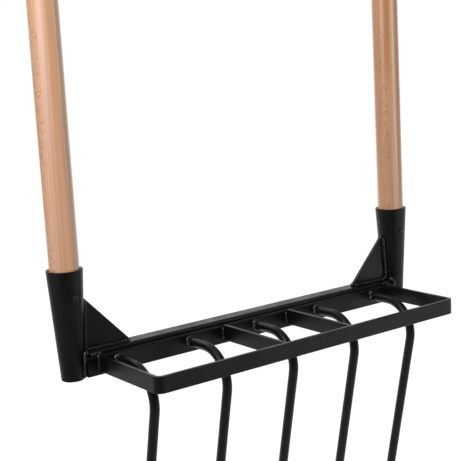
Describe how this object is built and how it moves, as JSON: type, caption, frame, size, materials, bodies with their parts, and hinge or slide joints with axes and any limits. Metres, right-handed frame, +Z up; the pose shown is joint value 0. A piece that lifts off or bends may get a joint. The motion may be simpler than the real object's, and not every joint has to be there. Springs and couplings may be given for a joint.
{
  "type": "broadfork",
  "caption": "Compost broadfork with two long wooden handles in a welded black steel head: crossbar, conical sockets, gussets, a flat bar hoop and curved round tines.",
  "frame": {"origin": "middle of the crossbar's flat top face, where the foot treads", "axes": "+Z up along the handles, +X along the crossbar, to the right as seen from the front, -Y to the front, where the hoop and the tines reach out"},
  "size_m": [0.5756, 0.1654, 1.4103],
  "materials": {
    "beech_wood": "clear varnished beech, satin",
    "black_steel": "satin black enamel paint",
    "weld": "satin black enamel over weld beads",
    "screw": "blackened steel"
  },
  "bodies": {
    "root": {"crossbar_tube": "black_steel", "back_plate": "black_steel", "hoop": "black_steel", "left_strut": "black_steel", "right_strut": "black_steel", "left_gusset": "black_steel", "right_gusset": "black_steel", "left_socket": "black_steel", "right_socket": "black_steel", "left_handle": "beech_wood", "right_handle": "beech_wood", "left_handle_screw": "screw", "right_handle_screw": "screw", "left_handle_side_screw": "screw", "right_handle_side_screw": "screw", "tine_1": "black_steel", "tine_2": "black_steel", "tine_3": "black_steel", "tine_4": "black_steel", "tine_5": "black_steel", "tine_1_weld": "weld", "tine_2_weld": "weld", "tine_3_weld": "weld", "tine_4_weld": "weld", "tine_5_weld": "weld", "left_gusset_weld_front": "weld", "left_gusset_weld_rear": "weld", "right_gusset_weld_front": "weld", "right_gusset_weld_rear": "weld", "left_socket_weld_front": "weld", "left_socket_weld_rear": "weld", "right_socket_weld_front": "weld", "right_socket_weld_rear": "weld", "left_plate_weld": "weld", "right_plate_weld": "weld", "left_hoop_weld": "weld", "right_hoop_weld": "weld", "left_strut_weld_plate": "weld", "left_strut_weld_hoop": "weld", "right_strut_weld_plate": "weld", "right_strut_weld_hoop": "weld"}
  },
  "joints": []
}
